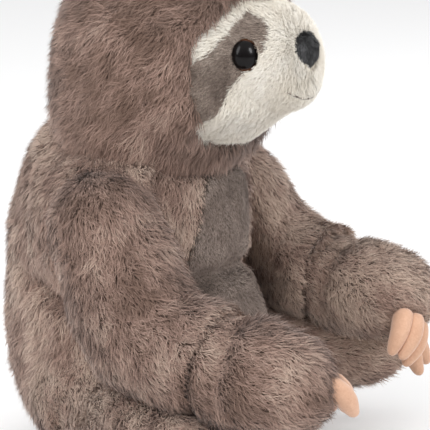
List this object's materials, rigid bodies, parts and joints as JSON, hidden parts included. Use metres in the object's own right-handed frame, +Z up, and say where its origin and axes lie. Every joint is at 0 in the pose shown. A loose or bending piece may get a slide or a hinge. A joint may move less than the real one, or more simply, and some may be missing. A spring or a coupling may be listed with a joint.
{
  "type": "plush sloth toy",
  "caption": "Seated plush sloth toy with a pale mask, brown eye patches, gloss eyes and soft curved claws, whose head, arms, hands and legs turn.",
  "frame": {"origin": "middle of the box that holds the toy, on the surface it sits on", "axes": "+Z up, the toy faces -Y, and its own left side is +X"},
  "size_m": [0.2762, 0.2558, 0.2998],
  "materials": {
    "brown_plush": "long pile plush, combed",
    "grey_velour": "short velour",
    "cream_plush": "short pile plush",
    "patch_plush": "short pile plush",
    "black_plush": "short pile plush",
    "claw_suede": "brushed suede cloth",
    "gloss_brown": "clear gloss over dark brown",
    "washer_white": "plain moulded",
    "brown_thread": "sewing thread",
    "stuffing_fibre": "loose fibre",
    "bag_cloth": "plain woven"
  },
  "bodies": {
    "torso": {"torso_shell": "brown_plush", "belly_panel": "grey_velour", "torso_stuffing": "stuffing_fibre", "pellet_bag": "bag_cloth"},
    "head": {"eye_patch_left": "patch_plush", "eye_left": "gloss_brown", "eye_washer_left": "washer_white", "eye_patch_right": "patch_plush", "eye_right": "gloss_brown", "eye_washer_right": "washer_white", "head_hood": "brown_plush", "face_mask": "cream_plush", "head_stuffing": "stuffing_fibre", "nose": "black_plush", "mouth_stitch": "brown_thread"},
    "arm_left": {"arm_left": "brown_plush", "arm_stuffing_left": "stuffing_fibre"},
    "hand_left": {"hand_claw_left_1": "claw_suede", "hand_claw_left_2": "claw_suede", "hand_claw_left_3": "claw_suede", "hand_left": "brown_plush", "hand_stuffing_left": "stuffing_fibre"},
    "leg_left": {"foot_claw_left_1": "claw_suede", "foot_claw_left_2": "claw_suede", "foot_claw_left_3": "claw_suede", "leg_left": "brown_plush", "sole_left": "grey_velour", "leg_stuffing_left": "stuffing_fibre"},
    "arm_right": {"arm_right": "brown_plush", "arm_stuffing_right": "stuffing_fibre"},
    "hand_right": {"hand_claw_right_1": "claw_suede", "hand_claw_right_2": "claw_suede", "hand_claw_right_3": "claw_suede", "hand_right": "brown_plush", "hand_stuffing_right": "stuffing_fibre"},
    "leg_right": {"foot_claw_right_1": "claw_suede", "foot_claw_right_2": "claw_suede", "foot_claw_right_3": "claw_suede", "leg_right": "brown_plush", "sole_right": "grey_velour", "leg_stuffing_right": "stuffing_fibre"}
  },
  "joints": [
    {"name": "head_turn", "type": "hinge", "parent": "torso", "child": "head", "pos_m": [-0.00071, 0.02445, 0.231], "axis": [0, -0.2079, 0.9781], "range_deg": [-30, 30]},
    {"name": "shoulder_left", "type": "hinge", "parent": "torso", "child": "arm_left", "pos_m": [0.06688, 0.02957, 0.1471], "axis": [-0.9281, 0.3378, -0.1564], "range_deg": [0, 45]},
    {"name": "wrist_left", "type": "hinge", "parent": "arm_left", "child": "hand_left", "pos_m": [0.07929, -0.04305, 0.095], "axis": [-1, 0, 0], "range_deg": [0, 18]},
    {"name": "hip_left", "type": "hinge", "parent": "torso", "child": "leg_left", "pos_m": [0.03929, 0.04095, 0.036], "axis": [-0.8227, -0.5684, 0], "range_deg": [-12, 0]},
    {"name": "shoulder_right", "type": "hinge", "parent": "torso", "child": "arm_right", "pos_m": [-0.06829, 0.02957, 0.1471], "axis": [-0.9281, -0.3378, 0.1564], "range_deg": [0, 45]},
    {"name": "wrist_right", "type": "hinge", "parent": "arm_right", "child": "hand_right", "pos_m": [-0.08271, -0.06105, 0.082], "axis": [-1, 0, 0], "range_deg": [0, 18]},
    {"name": "hip_right", "type": "hinge", "parent": "torso", "child": "leg_right", "pos_m": [-0.04071, 0.04095, 0.036], "axis": [-0.8019, 0.5975, 0], "range_deg": [-5, 0]}
  ]
}
